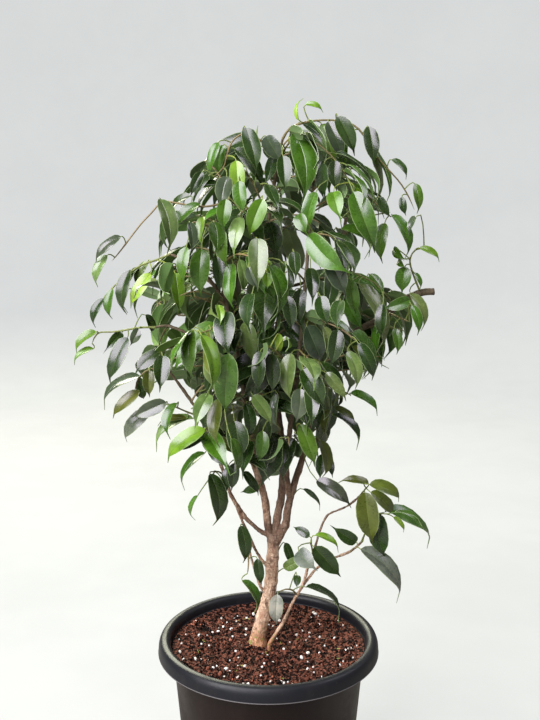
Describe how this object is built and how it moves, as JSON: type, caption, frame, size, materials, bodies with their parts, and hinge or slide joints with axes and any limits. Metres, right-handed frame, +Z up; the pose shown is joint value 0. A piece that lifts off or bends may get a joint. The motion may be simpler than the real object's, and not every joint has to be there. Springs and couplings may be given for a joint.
{
  "type": "potted weeping fig",
  "caption": "Weeping fig with a dense crown of drooping pointed green leaves on slender forked stems, rooted in potting mix in a round dark plastic nursery pot.",
  "frame": {"origin": "middle of the pot's round underside, on the surface that the pot stands on", "axes": "+Z up along the pot's axis; -Y toward the front, the side that the picture shows; +X to the right seen from the front"},
  "size_m": [0.3119, 0.2479, 0.642],
  "materials": {
    "pot_plastic": "satin dark brown-black moulded plastic",
    "potting_mix": "crumbly reddish dark-brown coco mix with white perlite grains",
    "bark": "tan-brown scaly bark with paler patches and dark leaf scars",
    "young_bark": "smooth tan young bark",
    "leaf_green": "waxy green leaf on a thin green-tan twig, darker when old and yellow-green when young",
    "leaf_young_green": "waxy yellow-green young leaf on a thin green twig"
  },
  "bodies": {
    "root": {"pot": "pot_plastic", "potting_mix": "potting_mix", "trunk_and_limbs": "bark", "side_stem": "young_bark", "leafy_shoot_01": "leaf_green", "leafy_shoot_02": "leaf_green", "leafy_shoot_03": "leaf_green", "leafy_shoot_04": "leaf_green", "leafy_shoot_05": "leaf_green", "leafy_shoot_06": "leaf_young_green", "leafy_shoot_07": "leaf_young_green", "leafy_shoot_08": "leaf_green", "leafy_shoot_09": "leaf_green", "leafy_shoot_10": "leaf_green", "leafy_shoot_11": "leaf_green", "leafy_shoot_12": "leaf_green", "leafy_shoot_13": "leaf_green", "leafy_shoot_14": "leaf_green", "leafy_shoot_15": "leaf_green", "leafy_shoot_16": "leaf_green", "leafy_shoot_17": "leaf_green", "leafy_shoot_18": "leaf_green", "leafy_shoot_19": "leaf_green", "leafy_shoot_20": "leaf_green", "leafy_shoot_21": "leaf_green", "leafy_shoot_22": "leaf_green", "leafy_shoot_23": "leaf_green", "leafy_shoot_24": "leaf_green", "leafy_shoot_25": "leaf_young_green", "leafy_shoot_26": "leaf_green", "leafy_shoot_27": "leaf_green", "leafy_shoot_28": "leaf_green", "leafy_shoot_29": "leaf_green", "leafy_shoot_30": "leaf_green", "leafy_shoot_31": "leaf_green", "leafy_shoot_32": "leaf_green", "leafy_shoot_33": "leaf_green", "leafy_shoot_34": "leaf_green", "leafy_shoot_35": "leaf_green", "leafy_shoot_36": "leaf_green", "leafy_shoot_37": "leaf_green", "leafy_shoot_38": "leaf_green", "leafy_shoot_39": "leaf_green", "leafy_shoot_40": "leaf_green", "leafy_shoot_41": "leaf_green", "leafy_shoot_42": "leaf_green", "leafy_shoot_43": "leaf_green", "leafy_shoot_44": "leaf_green", "leafy_shoot_45": "leaf_green", "leafy_shoot_46": "leaf_green", "leafy_shoot_47": "leaf_green", "leafy_shoot_48": "leaf_green", "leafy_shoot_49": "leaf_green", "leafy_shoot_50": "leaf_green", "leafy_shoot_51": "leaf_young_green", "leafy_shoot_52": "leaf_green", "leafy_shoot_53": "leaf_green", "leafy_shoot_54": "leaf_green"}
  },
  "joints": []
}
